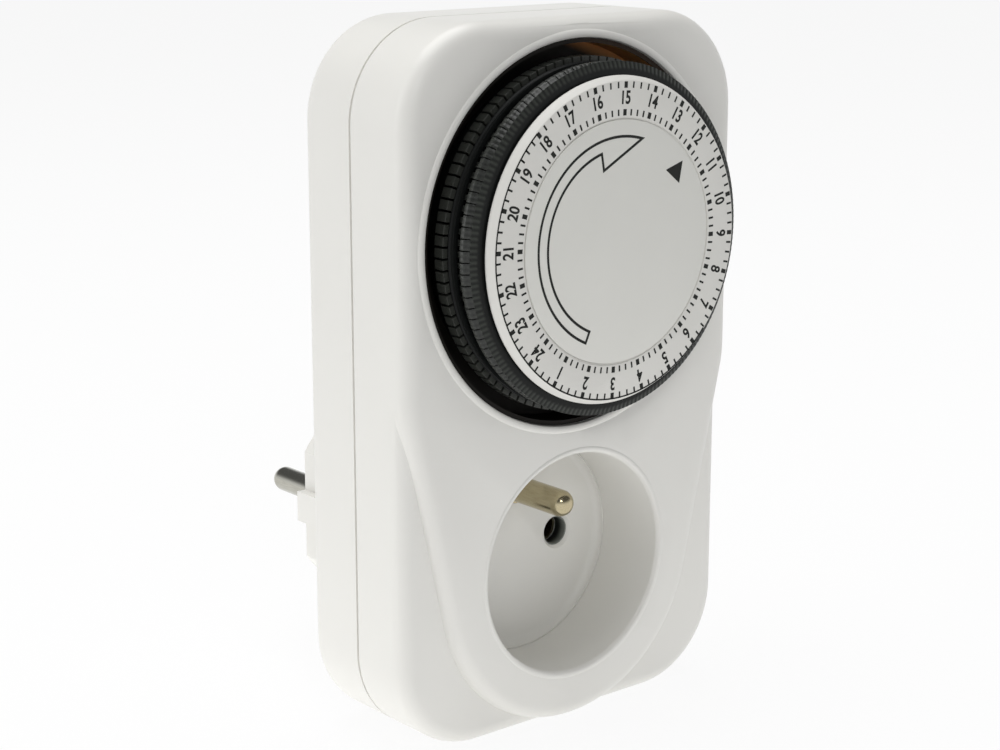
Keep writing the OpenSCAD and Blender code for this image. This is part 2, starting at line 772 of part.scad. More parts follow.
module plate_screws() {
    color("silver") in_frame() for (p = plate_screw_spots) translate([p.x, p.y]) difference() {
        union() {
            rod(plate_screw_d / 2, plate_back_z - 0.5, plate_screw_top_z);
            rod(plate_screw_d / 2 + 0.8, plate_back_z - 1.2, plate_back_z);
        }
        translate([0, 0, plate_back_z - 1.2]) cube([plate_screw_d + 2, 0.4, 1], center = true);
    }
}

module motor() {
    rim_t = 0.8;
    color("lightgray") in_frame() difference() {
        union() {
            translate(motor_spot) {
                rod(motor_r - 0.6, motor_low_z, plate_back_z);
                rod(motor_r, plate_back_z - rim_t - 1.4, plate_back_z - 1.4);
            }
            translate(pinion_spot) rod(pinion_r + 0.4, plate_back_z - 0.5, plate_front_z - 0.2);
        }
        translate(pinion_spot) rod(shaft_d / 2 + 0.04, plate_back_z - 4, plate_front_z + eps);
    }
}

// A wire along a list of points, with a small bead at each bend
module wire(points, r) {
    last = len(points) - 1;
    if (last > 1) for (i = [1:last - 1]) translate(points[i]) sphere(r * 1.06);
    for (i = [1:last]) {
        d = points[i] - points[i - 1];
        translate(points[i - 1]) rotate([0, acos(d.z / norm(d)), atan2(d.y, d.x)])
            cylinder(r = r, h = norm(d));
    }
}

module motor_leads() {
    lead_r = 0.6;
    side = motor_r - 0.6 + lead_r + 0.05;
    lead_z = run_low_z + strip_t + lead_r + 0.05;
    neutral_x = -pin_x - contact_out_r - lead_r - run_gap;
    neutral_z = sleeve_low_z + 5 + lead_r + 0.05;
    start = motor_spot + side * [cos(-40), sin(-40)];
    color("dodgerblue") in_frame()
        wire([[motor_spot.x, motor_spot.y - side, lead_z + 1], [neutral_x, recess_r - 4, lead_z + 1],
              [neutral_x, 1, neutral_z]], lead_r);
    color("sienna") in_frame()
        wire([[start.x, start.y, lead_z], [run_x + strip_w / 2, start.y - 6, lead_z]], lead_r);
}

module dial_post() {
    color("dimgray") in_frame() at_dial() difference() {
        union() {
            rod(post_d / 2, plate_front_z, ring_back_z - disc_hub_h - 0.2);
            rod(post_d / 2 + 2, plate_front_z, plate_front_z + 1);
        }
        rod(post_d / 4 + seat_gap, ring_back_z - disc_stem_len - 1, ring_back_z);
    }
}

// The fixed disc that carries the arrow and the time mark
module centre_disc() {
    color("gainsboro") in_frame() at_dial() {
        rod(disc_r, disc_back_z, ring_face_z);
        rod(post_d / 2 - 0.5, ring_back_z - disc_hub_h, disc_back_z + 0.2);
        rod(post_d / 4, ring_back_z - disc_stem_len, disc_back_z + 0.2);
    }
}

module idler_axle() {
    color("silver") in_frame() translate(idler_spot) {
        rod(axle_d / 2, plate_back_z, gear_z + gear_w + 0.8);
        rod(axle_d / 2 + 0.8, plate_front_z, gear_z - 0.15);
    }
}

module idler_gear() {
    color("ivory") in_frame() translate(idler_spot) spur_gear(idler_teeth, idler_phase, axle_d / 2 + 0.05);
}

module motor_pinion() {
    color("ivory") in_frame() translate(pinion_spot) {
        spur_gear(pinion_teeth, pinion_phase, shaft_d / 2 - 0.01);
        rod(shaft_d / 2, plate_back_z - 3.9, gear_z + gear_w + 0.5);
    }
}

module dial_gear() {
    color("ivory") in_frame() at_dial() spur_gear(dial_teeth, idler_angle, gear_hub_r - 1 + seat_gap);
}

// ---------------------------------------------------------------- dial

// Dark cup that lines the well, with a shelf under the tappets and a notch for the lever's nose
module well_liner() {
    shelf_z = plate_front_z + liner_shelf_rise;
    shelf_in_r = drum_r + run_gap + 0.1;
    color("#3a2416") in_frame() at_dial() {
        tube(well_r - seat_gap, liner_r, plate_front_z + seat_gap, panel_z - well_lip_r - 0.1);
        difference() {
            tube(liner_r + 0.3, shelf_in_r, shelf_z, shelf_z + liner_shelf_t);
            rotate([0, 0, mark_angle]) box([shelf_in_r - eps, -2.6, shelf_z - eps],
                                           [liner_r - 0.2, 2.6, shelf_z + liner_shelf_t + eps]);
        }
    }
}

module dial_drum() {
    bore_r = post_d / 2 + 0.05;
    rib_low_z = ring_back_z - 8;
    color("#262626") in_frame() at_dial() difference() {
        union() {
            tube(drum_r, drum_r - drum_wall, drum_low_z, ring_back_z);
            rod(drum_r - 0.5, ring_back_z - drum_wall, ring_back_z);
            rod(gear_hub_r, gear_z + gear_w, ring_back_z - 0.5);
            rod(gear_hub_r - 1, gear_z + 0.1, gear_z + gear_w + 0.5);
            for (i = [0:drum_ribs - 1]) rotate([0, 0, i * 360 / drum_ribs])
                box([gear_hub_r - 0.5, -0.6, rib_low_z], [drum_r - drum_wall + 0.3, 0.6, ring_back_z - 0.5]);
        }
        rod(bore_r, gear_z - eps, ring_back_z + eps);
    }
}

module number_ring() {
    in_r = ring_r - ring_band;
    edge_t = 0.35;
    ledge_z = ring_back_z + ring_ledge_t;
    color("white") in_frame() at_dial() rotate_extrude() polygon([
        [in_r - ring_ledge_w, ring_back_z], [ring_r, ring_back_z], [ring_r, ring_back_z + edge_t],
        [ring_r - ring_bevel, ring_face_z], [in_r, ring_face_z], [in_r, ledge_z],
        [in_r - ring_ledge_w, ledge_z]]);
}

// Ring on the drum with one window for each tappet's stem
module tappet_guide_ring() {
    web = tappet_pitch * (1 - stem_share) - 0.4;
    in_r = stem_in_r + stem_t + 0.1;
    mid_z = (guide_low_z + guide_top_z) / 2;
    color("#303030") in_frame() at_dial() {
        rotate_extrude() polygon([
            [in_r, guide_low_z], [guide_r, guide_low_z], [guide_r, mid_z - 2 * guide_groove],
            [guide_r - guide_groove, mid_z - guide_groove], [guide_r - guide_groove, mid_z + guide_groove],
            [guide_r, mid_z + 2 * guide_groove], [guide_r, guide_top_z], [in_r, guide_top_z]]);
        for (i = [0:tappet_count - 1])
            sector(drum_r + 0.02, in_r + 0.2, guide_low_z + 0.3, guide_top_z - 0.3,
                   first_hour_angle + i * tappet_pitch, web);
    }
}

// A head slopes from its flat top, next to the ring, out to its straight edge
module tappet(angle) {
    head_w = tappet_pitch * head_share;
    head_out_r = stem_in_r + head_t;
    rotate_extrude(angle = head_w, start = angle - head_w / 2) polygon([
        [stem_in_r, head_low_z], [head_out_r, head_low_z], [head_out_r, head_low_z + head_edge_h],
        [stem_in_r + head_crown, head_top_z], [stem_in_r, head_top_z]]);
    sector(stem_in_r, stem_in_r + stem_t, foot_top_z - 0.5, head_low_z + 0.5, angle,
           tappet_pitch * stem_share);
    sector(stem_in_r, stem_in_r + foot_t, foot_low_z, foot_top_z, angle, tappet_pitch * foot_share);
}

// The tappets of one hour, which follow the hour's mark on the dial
module hour_tappets(hour) {
    per_hour = tappet_count / hours;
    color("#4a4f4c") in_frame() at_dial() for (i = [0:per_hour - 1])
        tappet(first_hour_angle + hour * hour_pitch + (i + 0.5) * tappet_pitch);
}

// ---------------------------------------------------------------- switch

module switch_base() {
    color("saddlebrown") in_frame() at_mark() difference() {
        union() {
            box([base_low_u, -base_half_v, floor_z], [base_high_u, base_half_v, base_top_z]);
            box([base_low_u, -base_half_v + 2, floor_z], [blade_pivot_u - 0.3, base_half_v - 2, blade_low_z]);
            for (s = [-1, 1]) translate([0, s * (lever_w / 2 + 0.2 + ear_t / 2), 0])
                box([lever_pivot_u - ear_half_u, -ear_t / 2, floor_z],
                    [lever_pivot_u + ear_half_u, ear_t / 2, ear_top_z]);
        }
        translate([lever_pivot_u, 0, lever_pivot_z]) rotate([90, 0, 0])
            cylinder(r = lever_pin_d / 2 + seat_gap, h = 20, center = true);
    }
}

module lever_pin() {
    half = lever_w / 2 + 0.2 + ear_t;
    color("silver") in_frame() at_mark() translate([lever_pivot_u, 0, lever_pivot_z]) rotate([90, 0, 0])
        cylinder(r = lever_pin_d / 2, h = 2 * half, center = true);
}

module fixed_contact() {
    high_u = contact_u + contact_r + 1.5;
    top_z = base_top_z + fixed_strip_t;
    color("goldenrod") in_frame() at_mark() {
        box([tab_u, -base_half_v - 0.05 - strip_t, base_top_z], [high_u, 2, top_z]);
        translate([contact_u, 0]) rod(contact_r, top_z - 0.2, top_z + rivet_h);
    }
}

module contact_blade() {
    color("goldenrod") in_frame() at_mark() {
        box([blade_pivot_u, -1.6, blade_low_z], [contact_u + contact_r + run_gap, 1.6, blade_top_z]);
        translate([blade_pivot_u, 0, blade_low_z + blade_t / 2]) rotate([90, 0, 0])
            cylinder(r = knuckle_r, h = 3.2, center = true);
        translate([contact_u, 0]) rod(contact_r, blade_low_z - rivet_h, blade_low_z + 0.2);
    }
}

// Sprung lever, whose nose stands through the plate under the tappets' feet
module switch_lever() {
    half = lever_w / 2;
    side = half - 0.6;
    ramp = 1.1;
    color("firebrick") in_frame() at_mark() difference() {
        union() {
            box([lever_pivot_u - 6, -half, lever_low_z], [nose_u + nose_t, half, lever_low_z + lever_h]);
            translate([nose_u, 0, 0]) rotate([90, 0, 90]) linear_extrude(nose_t)
                polygon([[-side, lever_low_z], [side, lever_low_z], [side, nose_top_z - ramp],
                         [side - ramp, nose_top_z], [ramp - side, nose_top_z], [-side, nose_top_z - ramp]]);
        }
        translate([lever_pivot_u, 0, lever_pivot_z]) rotate([90, 0, 0])
            cylinder(r = lever_pin_d / 2 + 0.04, h = lever_w + 2 * eps, center = true);
    }
}

module override_slider() {
    grip_x = body_w / 2 - track_depth + 0.15;
    wall_in_x = body_w / 2 - case_wall;
    groove = 0.4;
    color("firebrick") in_frame() translate([0, override_y, override_z]) difference() {
        union() {
            box([grip_x, -cap_len / 2, -cap_w / 2], [grip_x + 1.9, cap_len / 2, cap_w / 2]);
            box([wall_in_x - 0.5, -neck_len / 2, -neck_w / 2], [grip_x + 0.5, neck_len / 2, neck_w / 2]);
            box([wall_in_x - 1.5, -cap_len + 1, -cap_w / 2 - 1],
                [wall_in_x - 0.15, cap_len - 1, cap_w / 2 + 1]);
        }
        for (i = [-2:2]) translate([grip_x + 1.9, i * 1.4, 0])
            cube([2 * groove, 0.6, cap_w + 2], center = true);
    }
}

rear_housing();
front_housing();
socket_insert();
housing_screws();
live_pin();
neutral_pin();
plug_earth_sleeve();
earth_strip();
socket_earth_pin();
live_contact();
neutral_contact();
neutral_link();
live_link();
switched_live_link();
movement_plate();
plate_screws();
motor();
motor_leads();
dial_post();
centre_disc();
idler_axle();
lever_pin();
switch_base();
fixed_contact();
well_liner();
dial_drum();
number_ring();
dial_gear();
tappet_guide_ring();
idler_gear();
motor_pinion();
switch_lever();
contact_blade();
override_slider();
hour_tappets(1);  // hour_01_tappets
hour_tappets(2);  // hour_02_tappets
hour_tappets(3);  // hour_03_tappets
hour_tappets(4);  // hour_04_tappets
hour_tappets(5);  // hour_05_tappets
hour_tappets(6);  // hour_06_tappets
hour_tappets(7);  // hour_07_tappets
hour_tappets(8);  // hour_08_tappets
hour_tappets(9);  // hour_09_tappets
hour_tappets(10);  // hour_10_tappets
hour_tappets(11);  // hour_11_tappets
hour_tappets(12);  // hour_12_tappets
hour_tappets(13);  // hour_13_tappets
hour_tappets(14);  // hour_14_tappets
hour_tappets(15);  // hour_15_tappets
hour_tappets(16);  // hour_16_tappets
hour_tappets(17);  // hour_17_tappets
hour_tappets(18);  // hour_18_tappets
hour_tappets(19);  // hour_19_tappets
hour_tappets(20);  // hour_20_tappets
hour_tappets(21);  // hour_21_tappets
hour_tappets(22);  // hour_22_tappets
hour_tappets(23);  // hour_23_tappets
hour_tappets(24);  // hour_24_tappets
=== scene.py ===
import json
import math

import bmesh
import bpy
from mathutils import Matrix, Vector


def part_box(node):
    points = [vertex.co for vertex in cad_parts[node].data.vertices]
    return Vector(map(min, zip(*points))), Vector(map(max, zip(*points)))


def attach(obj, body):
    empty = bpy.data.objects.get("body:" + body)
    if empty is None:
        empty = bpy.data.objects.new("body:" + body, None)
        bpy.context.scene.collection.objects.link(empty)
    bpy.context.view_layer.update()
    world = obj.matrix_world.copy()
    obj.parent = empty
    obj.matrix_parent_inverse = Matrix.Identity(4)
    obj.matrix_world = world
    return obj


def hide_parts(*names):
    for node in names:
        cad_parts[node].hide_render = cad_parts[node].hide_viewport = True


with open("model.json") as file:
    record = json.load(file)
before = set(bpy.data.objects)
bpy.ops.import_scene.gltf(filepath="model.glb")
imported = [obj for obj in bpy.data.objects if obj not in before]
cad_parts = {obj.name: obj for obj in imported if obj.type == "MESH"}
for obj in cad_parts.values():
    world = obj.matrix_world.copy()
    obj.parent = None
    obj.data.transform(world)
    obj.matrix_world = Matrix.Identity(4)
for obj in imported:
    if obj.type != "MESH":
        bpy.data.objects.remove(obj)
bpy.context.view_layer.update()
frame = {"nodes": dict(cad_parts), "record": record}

MM = 0.001
scene = bpy.context.scene
scene.view_settings.view_transform = "Standard"

# ---------------------------------------------------------------- places, in the front view's millimetres

# The front view has x right, y up and z forward; the part's frame has y towards the wall.
TO_PART = Matrix(((MM, 0, 0, 0), (0, 0, -MM, 0), (0, MM, 0, 0), (0, 0, 0, 1)))
ring_low, ring_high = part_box("number_ring")
disc_low, disc_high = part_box("centre_disc")
DIAL_Y = (ring_low.z + ring_high.z) / 2 / MM
RING_FACE = -ring_low.y / MM
RING_BACK = -ring_high.y / MM
DISC_FACE = -disc_low.y / MM
HOURS = 24
TAPPETS = 96
FIRST_HOUR = -137.5      # direction of hour 0, in degrees
HOUR_PITCH = 360 / HOURS
INK_DEPTH = 0.03
guide_low, guide_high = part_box("tappet_guide_ring")
TAPPET_MIDDLE = (guide_low.y + guide_high.y) / 2 / MM     # between a tappet's head and its foot
RING_EDGE = (ring_high.x - ring_low.x) / 2 / MM
DISC_EDGE = (disc_high.x - disc_low.x) / 2 / MM
liner_low, liner_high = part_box("well_liner")
LINER_EDGE = (liner_high.x - liner_low.x) / 2 / MM
HEAD_TOP = -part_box("hour_01_tappets")[0].y / MM
PANEL = 59.5             # forward face of the front housing's raised panel
WELL_EDGE = 33.0         # radius of the dial's well
RECESS_EDGE = 19.75      # radius of the socket's recess, which is about the origin
RECESS_FLOOR = 43.5
CONTACT_X = 9.5          # contact holes, left and right of the middle
CONTACT_HOLE = 2.75      # their radius


def front(x, y, z):
    return TO_PART @ Vector((x, y, z))


# ---------------------------------------------------------------- node trees

class Value:
    """A socket that can stand in sums: each operator adds a Math node."""

    def __init__(self, tree, socket):
        self.tree, self.socket = tree, socket

    def maths(self, operation, *others):
        return self.tree.node("ShaderNodeMath", {"operation": operation}, dict(enumerate((self, *others))))

    def __add__(self, other):
        return self.maths("ADD", other)

    def __sub__(self, other):
        return self.maths("SUBTRACT", other)

    def __rsub__(self, other):
        return self.tree.node("ShaderNodeMath", {"operation": "SUBTRACT"}, {0: other, 1: self})

    def __mul__(self, other):
        return self.maths("MULTIPLY", other)

    def __truediv__(self, other):
        return self.maths("DIVIDE", other)

    def __mod__(self, other):
        return self.maths("FLOORED_MODULO", other)

    def __lt__(self, other):
        return self.maths("LESS_THAN", other)

    __radd__ = __add__
    __rmul__ = __mul__


class Tree:
    """Nodes of one material or of one geometry tree."""

    def __init__(self, nodes, links):
        self.nodes, self.links = nodes, links

    def put(self, socket, value):
        if isinstance(value, Value):
            self.links.new(value.socket, socket)
        else:
            socket.default_value = value

    def node(self, kind, settings=None, inputs=None, output=0):
        made = self.nodes.new(kind)
        for name, value in (settings or {}).items():
            setattr(made, name, value)
        for key, value in (inputs or {}).items():
            self.put(made.inputs[key], value)
        return Value(self, made.outputs[output])


class Finish(Tree):
    """A procedural material on Object coordinates, which are metres in the part's frame."""

    def __init__(self, name):
        self.material = bpy.data.materials.new(name)
        self.material.use_nodes = True
        super().__init__(self.material.node_tree.nodes, self.material.node_tree.links)
        self.nodes.clear()
        self.place = self.node("ShaderNodeTexCoord", output="Object")
        self.parts = None

    def axis(self, letter):
        """One coordinate, in millimetres."""
        if self.parts is None:
            split = self.nodes.new("ShaderNodeSeparateXYZ")
            self.put(split.inputs[0], self.place)
            self.parts = {name: Value(self, split.outputs[name]) * (1 / MM) for name in "XYZ"}
        return self.parts[letter]

    def off_axis(self):
        """How far from the dial's axis, in millimetres."""
        x, z = self.axis("X"), self.axis("Z") - DIAL_Y
        return (x * x + z * z).maths("SQRT")

    def fine_ribs(self, count):
        """0 to 1 and back, a number of times round the dial's axis."""
        turn = (self.axis("Z") - DIAL_Y).maths("ARCTAN2", self.axis("X"))
        return (turn * count).maths("SINE") * 0.5 + 0.5

    def noise(self, size_mm, detail=2.0, rough=0.5, stretch=(1, 1, 1)):
        at = self.node("ShaderNodeMapping", {"vector_type": "POINT"},
                       {"Vector": self.place, "Scale": stretch})
        return self.node("ShaderNodeTexNoise", None,
                         {"Vector": at, "Scale": 1 / (size_mm * MM), "Detail": detail, "Roughness": rough})

    def ease(self, value, low, high, out_low=0.0, out_high=1.0):
        return self.node("ShaderNodeMapRange", {"interpolation_type": "SMOOTHSTEP"},
                         {0: value, 1: low, 2: high, 3: out_low, 4: out_high})

    def mix(self, factor, a, b):
        return self.node("ShaderNodeMix", {"data_type": "RGBA"},
                         {0: factor, 6: rgba(a), 7: rgba(b)}, output=2)

    def bump(self, height, depth_mm, under=None):
        inputs = {"Height": height, "Distance": depth_mm * MM, "Strength": 1.0}
        if under is not None:
            inputs["Normal"] = under
        return self.node("ShaderNodeBump", None, inputs)

    def surface(self, **sockets):
        shader = self.nodes.new("ShaderNodeBsdfPrincipled")
        for name, value in sockets.items():
            self.put(shader.inputs[name.replace("_", " ")], rgba(value))
        out = self.nodes.new("ShaderNodeOutputMaterial")
        self.links.new(shader.outputs[0], out.inputs["Surface"])
        return self.material


def rgba(value):
    return (*value, 1.0) if isinstance(value, tuple) and len(value) == 3 else value


def scaled(base, share):
    return tuple(min(c * share, 1) for c in base)


# ---------------------------------------------------------------- finishes

CASE_WHITE = (0.785, 0.775, 0.735)
DRUM_LINES = 5.2         # radians a millimetre forward, of the lines on the drum
HEAD_STEPS = 9           # radians a millimetre outwards, of the steps on the tappets' heads
FOOT_BLEND = 0.5         # millimetres either side of a tappet's middle
LINER_REFLECTION_AT = 70        # degrees round the dial, where a warm reflection is painted on the wall
LIT_REACH = (3.2, 0.9)   # millimetres inside the liner's edge, from no painted reflection to full painted reflection
LIT_TOP = (-58.95, -58.4)                # the same along the part's y, in millimetres
SHADE_DEPTH = (0.9, 2.6)                 # millimetres under the recess floor, where the painted shade starts and where it is near black


def moulded_white():
    """Glossy white case plastic with faint flow marks and a very fine mould grain."""
    f = Finish("moulded_white")
    flow = f.noise(38, 3, 0.55)
    grain = f.noise(0.5, 2)
    shade = f.mix(flow, scaled(CASE_WHITE, 0.965), scaled(CASE_WHITE, 1.02))
    return f.surface(Base_Color=shade, Roughness=f.ease(flow + grain * 0.3, 0.4, 0.95, 0.3, 0.42),
                     Specular_IOR_Level=0.45, Normal=f.bump(grain, 0.006))


def dial_card(name, base):
    """Satin plastic of the disc and the number ring."""
    f = Finish(name)
    grain = f.noise(0.22, 3)
    shade = f.mix(f.noise(9, 3), scaled(base, 0.97), scaled(base, 1.015))
    return f.surface(Base_Color=shade, Roughness=f.ease(grain, 0.2, 0.8, 0.42, 0.52),
                     Normal=f.bump(grain, 0.004))


def turned_black():
    """Satin black plastic with fine lines round the dial's axis."""
    f = Finish("turned_black")
    lines = (f.axis("Y") * DRUM_LINES).maths("SINE") * 0.5 + 0.5
    grain = f.noise(0.3, 3)
    shade = f.mix(grain * 0.6 + lines * 0.4, (0.005, 0.006, 0.006), (0.012, 0.013, 0.012))
    return f.surface(Base_Color=shade, Roughness=f.ease(grain, 0.2, 0.8, 0.38, 0.52), Specular_IOR_Level=0.14,
                     Normal=f.bump(lines, 0.02, under=f.bump(grain, 0.006)))


def ribbed_black():
    """Black plastic of the drum's flange: smooth and darkest next to the ring, finely ribbed further out."""
    f = Finish("ribbed_black")
    grain = f.noise(0.35, 3)
    outer = f.ease(f.off_axis(), RING_EDGE + 0.7, RING_EDGE + 1.4)
    lines = f.fine_ribs(2 * TAPPETS) * outer
    plain = f.mix(grain, (0.005, 0.006, 0.006), (0.010, 0.011, 0.010))
    ribbed = f.mix(lines * 0.8 + grain * 0.2, (0.012, 0.013, 0.012), (0.042, 0.046, 0.040))
    return f.surface(Base_Color=f.mix(outer, plain, ribbed), Roughness=f.ease(grain, 0.2, 0.8, 0.32, 0.46),
                     Specular_IOR_Level=0.16, Normal=f.bump(lines, 0.08, under=f.bump(grain, 0.008)))


def tappet_black():
    """Black plastic of the tappets: fine ribs and steps on the heads, and feet a shade lighter."""
    f = Finish("tappet_black")
    foot = f.ease(f.axis("Y"), TAPPET_MIDDLE - FOOT_BLEND, TAPPET_MIDDLE + FOOT_BLEND)
    grain = f.noise(0.35, 3)
    ribs = f.fine_ribs(2 * TAPPETS)
    steps = (f.off_axis() * HEAD_STEPS).maths("SINE") * 0.5 + 0.5
    lines = (ribs * 0.55 + steps * 0.45) * (1 - foot)
    head_tone = f.mix(lines * 0.8 + grain * 0.2, (0.010, 0.011, 0.010), (0.036, 0.039, 0.034))
    foot_tone = f.mix(grain, (0.028, 0.030, 0.026), (0.050, 0.053, 0.046))
    return f.surface(Base_Color=f.mix(foot, head_tone, foot_tone),
                     Roughness=f.ease(grain, 0.2, 0.8, 0.26, 0.4), Specular_IOR_Level=0.4,
                     Normal=f.bump(lines, 0.08, under=f.bump(grain, 0.008)))


def liner_brown():
    """Smoky plastic of the well's liner, near black, with a warm reflection painted on the upper right of its
    wall.
    """
    f = Finish("liner_brown")
    grain = f.noise(2.4, 3, stretch=(1, 6, 1))
    dark = f.mix(grain, (0.007, 0.006, 0.005), (0.016, 0.013, 0.010))
    # Painted reflection: warm light painted as colour on the upper right of the wall, near its top
    painted_reflection = f.mix(grain, (0.56, 0.25, 0.085), (0.80, 0.38, 0.14))
    lit = math.radians(LINER_REFLECTION_AT)
    across = f.axis("X") * math.cos(lit) + (f.axis("Z") - DIAL_Y) * math.sin(lit)
    share = (f.ease(across, LINER_EDGE - LIT_REACH[0], LINER_EDGE - LIT_REACH[1])
             * f.ease(f.axis("Y"), *LIT_TOP))
    return f.surface(Base_Color=f.mix(share, dark, painted_reflection), Roughness=f.ease(grain, 0.2, 0.8, 0.5, 0.62),
                     Specular_IOR_Level=0.15, Normal=f.bump(grain, 0.006))


def polished_metal(name, base, streak, rough=(0.12, 0.24), stretch=(8, 1, 8)):
    """Plated metal with fine draw lines along one axis."""
    f = Finish(name)
    lines = f.noise(2.2, 4, 0.6, stretch)
    return f.surface(Base_Color=f.mix(lines, base, streak), Metallic=1.0,
                     Roughness=f.ease(lines, 0.25, 0.75, *rough), Normal=f.bump(lines, 0.004))


def plain_plastic(name, base, rough):
    """Plastic of the parts inside, with a little cloudiness and grain."""
    f = Finish(name)
    grain = f.noise(0.4, 3)
    shade = f.mix(f.noise(6, 3), scaled(base, 0.9), scaled(base, 1.08))
    return f.surface(Base_Color=shade, Roughness=f.ease(grain, 0.2, 0.8, rough - 0.05, rough + 0.07),
                     Normal=f.bump(grain, 0.008))


def sleeve_shade():
    """Plastic inside the contact holes: grey at the mouth, and painted shade makes it near black further in.
    """
    f = Finish("sleeve_shade")
    grain = f.noise(0.4, 3)
    # Painted shade: the sleeve darkens further into the hole
    painted_shade_share = f.ease(f.axis("Y"), SHADE_DEPTH[0] - RECESS_FLOOR, SHADE_DEPTH[1] - RECESS_FLOOR)
    mouth = f.mix(grain, (0.20, 0.215, 0.195), (0.25, 0.265, 0.24))
    inside = f.mix(grain, (0.008, 0.010, 0.009), (0.014, 0.016, 0.014))
    return f.surface(Base_Color=f.mix(painted_shade_share, mouth, inside), Roughness=f.ease(grain, 0.2, 0.8, 0.45, 0.6),
                     Normal=f.bump(grain, 0.006))


def print_ink():
    """Dark grey ink, a little broken at its edges."""
    f = Finish("print_ink")
    specks = f.noise(0.12, 3, 0.6)
    return f.surface(Base_Color=f.mix(specks, (0.008, 0.009, 0.008), (0.024, 0.025, 0.022)),
                     Roughness=f.ease(specks, 0.2, 0.8, 0.5, 0.7), Specular_IOR_Level=0.2,
                     Normal=f.bump(specks, 0.003))


WHITE = moulded_white()
RING = dial_card("ring_card", (0.725, 0.715, 0.675))
DISC = dial_card("disc_card", (0.735, 0.73, 0.685))
INK = print_ink()
FINISHES = {
    "housing_white": WHITE,
    "pin_nickel": polished_metal("pin_nickel", (0.56, 0.55, 0.49), (0.40, 0.39, 0.34)),
    "earth_pin_metal": polished_metal("earth_pin_nickel", (0.60, 0.53, 0.36), (0.42, 0.36, 0.22),
                                      (0.16, 0.28)),
    "contact_brass": polished_metal("contact_brass", (0.46, 0.42, 0.27), (0.30, 0.28, 0.19), (0.25, 0.4)),
    "screw_steel": polished_metal("screw_steel", (0.60, 0.60, 0.61), (0.42, 0.42, 0.44), (0.25, 0.4)),
    "plate_black": plain_plastic("plate_black", (0.035, 0.035, 0.036), 0.5),
    "motor_can": polished_metal("motor_can", (0.62, 0.62, 0.62), (0.48, 0.48, 0.48), (0.3, 0.45), (1, 8, 1)),
    "lead_pvc": plain_plastic("lead_pvc", (0.05, 0.14, 0.45), 0.4),
    "disc_grey": DISC,
    "switch_brown": plain_plastic("switch_brown", (0.22, 0.10, 0.05), 0.4),
    "drum_black": turned_black(),
    "liner_brown": liner_brown(),
    "ring_white": RING,
    "gear_ivory": plain_plastic("gear_ivory", (0.80, 0.76, 0.62), 0.4),
    "tappet_grey": tappet_black(),
    "slider_red": plain_plastic("slider_red", (0.50, 0.035, 0.025), 0.38),
}

record = frame["record"]
SLOT_OF = {s["node"]: s["material_slot"] for s in record["subparts"]}
BODY_OF = {node: body for body, nodes in record["behaviour"]["bodies"].items() for node in nodes}
for name, node in frame["nodes"].items():
    node.data.materials.clear()
    node.data.materials.append(FINISHES[SLOT_OF[name]])


# ---------------------------------------------------------------- pieces

MERGE_WITHIN = 2e-6      # metres
FLAT_BELOW = 0.6         # degrees between faces that become one
SHARP_ABOVE = 38         # degrees at an edge that is softened
SMOOTH_BELOW = 32        # degrees at an edge that is shaded smooth


def place(piece, body, slot, *replaced):
    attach(piece, body)
    if replaced:
        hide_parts(*replaced)
    return piece


def piece_from(name, mesh, finish):
    mesh.materials.clear()
    mesh.materials.append(finish)
    made = bpy.data.objects.new(name, mesh)
    scene.collection.objects.link(made)
    return made


def smooth_by_angle(work):
    for face in work.faces:
        face.smooth = True
    for edge in work.edges:
        edge.smooth = edge.calc_face_angle(0) < math.radians(SMOOTH_BELOW)


def softened(node, edge_mm=0.0, steps=2):
    """The node's own shape with shared vertices, softened edges and smooth shading."""
    work = bmesh.new()
    work.from_mesh(frame["nodes"][node].data)
    bmesh.ops.remove_doubles(work, verts=work.verts, dist=MERGE_WITHIN)
    bmesh.ops.dissolve_limit(work, angle_limit=math.radians(FLAT_BELOW), verts=work.verts, edges=work.edges)
    if edge_mm:
        sharp = [e for e in work.edges if e.is_manifold and e.calc_face_angle(0) > math.radians(SHARP_ABOVE)]
        bmesh.ops.bevel(work, geom=sharp, offset=edge_mm * MM, offset_type="OFFSET", segments=steps,
                        profile=0.5, affect="EDGES", clamp_overlap=True)
    smooth_by_angle(work)
    mesh = bpy.data.meshes.new(node + "_finished")
    work.to_mesh(mesh)
    work.free()
    made = piece_from(node + "_finished", mesh, FINISHES[SLOT_OF[node]])
    return place(made, BODY_OF[node], SLOT_OF[node], node)


for node in ("front_housing", "rear_housing", "socket_insert"):
    softened(node)
for node in ("number_ring", "centre_disc"):
    softened(node, 0.12)
for node in ("dial_drum", "tappet_guide_ring"):
    softened(node, 0.1)
for node in ("live_pin", "neutral_pin", "socket_earth_pin"):
    softened(node)
for node in ("housing_screws", "override_slider"):
    softened(node, 0.15)
for hour in range(1, HOURS + 1):
    softened(f"hour_{hour:02d}_tappets", 0.05, 1)


# ---------------------------------------------------------------- print on the dial

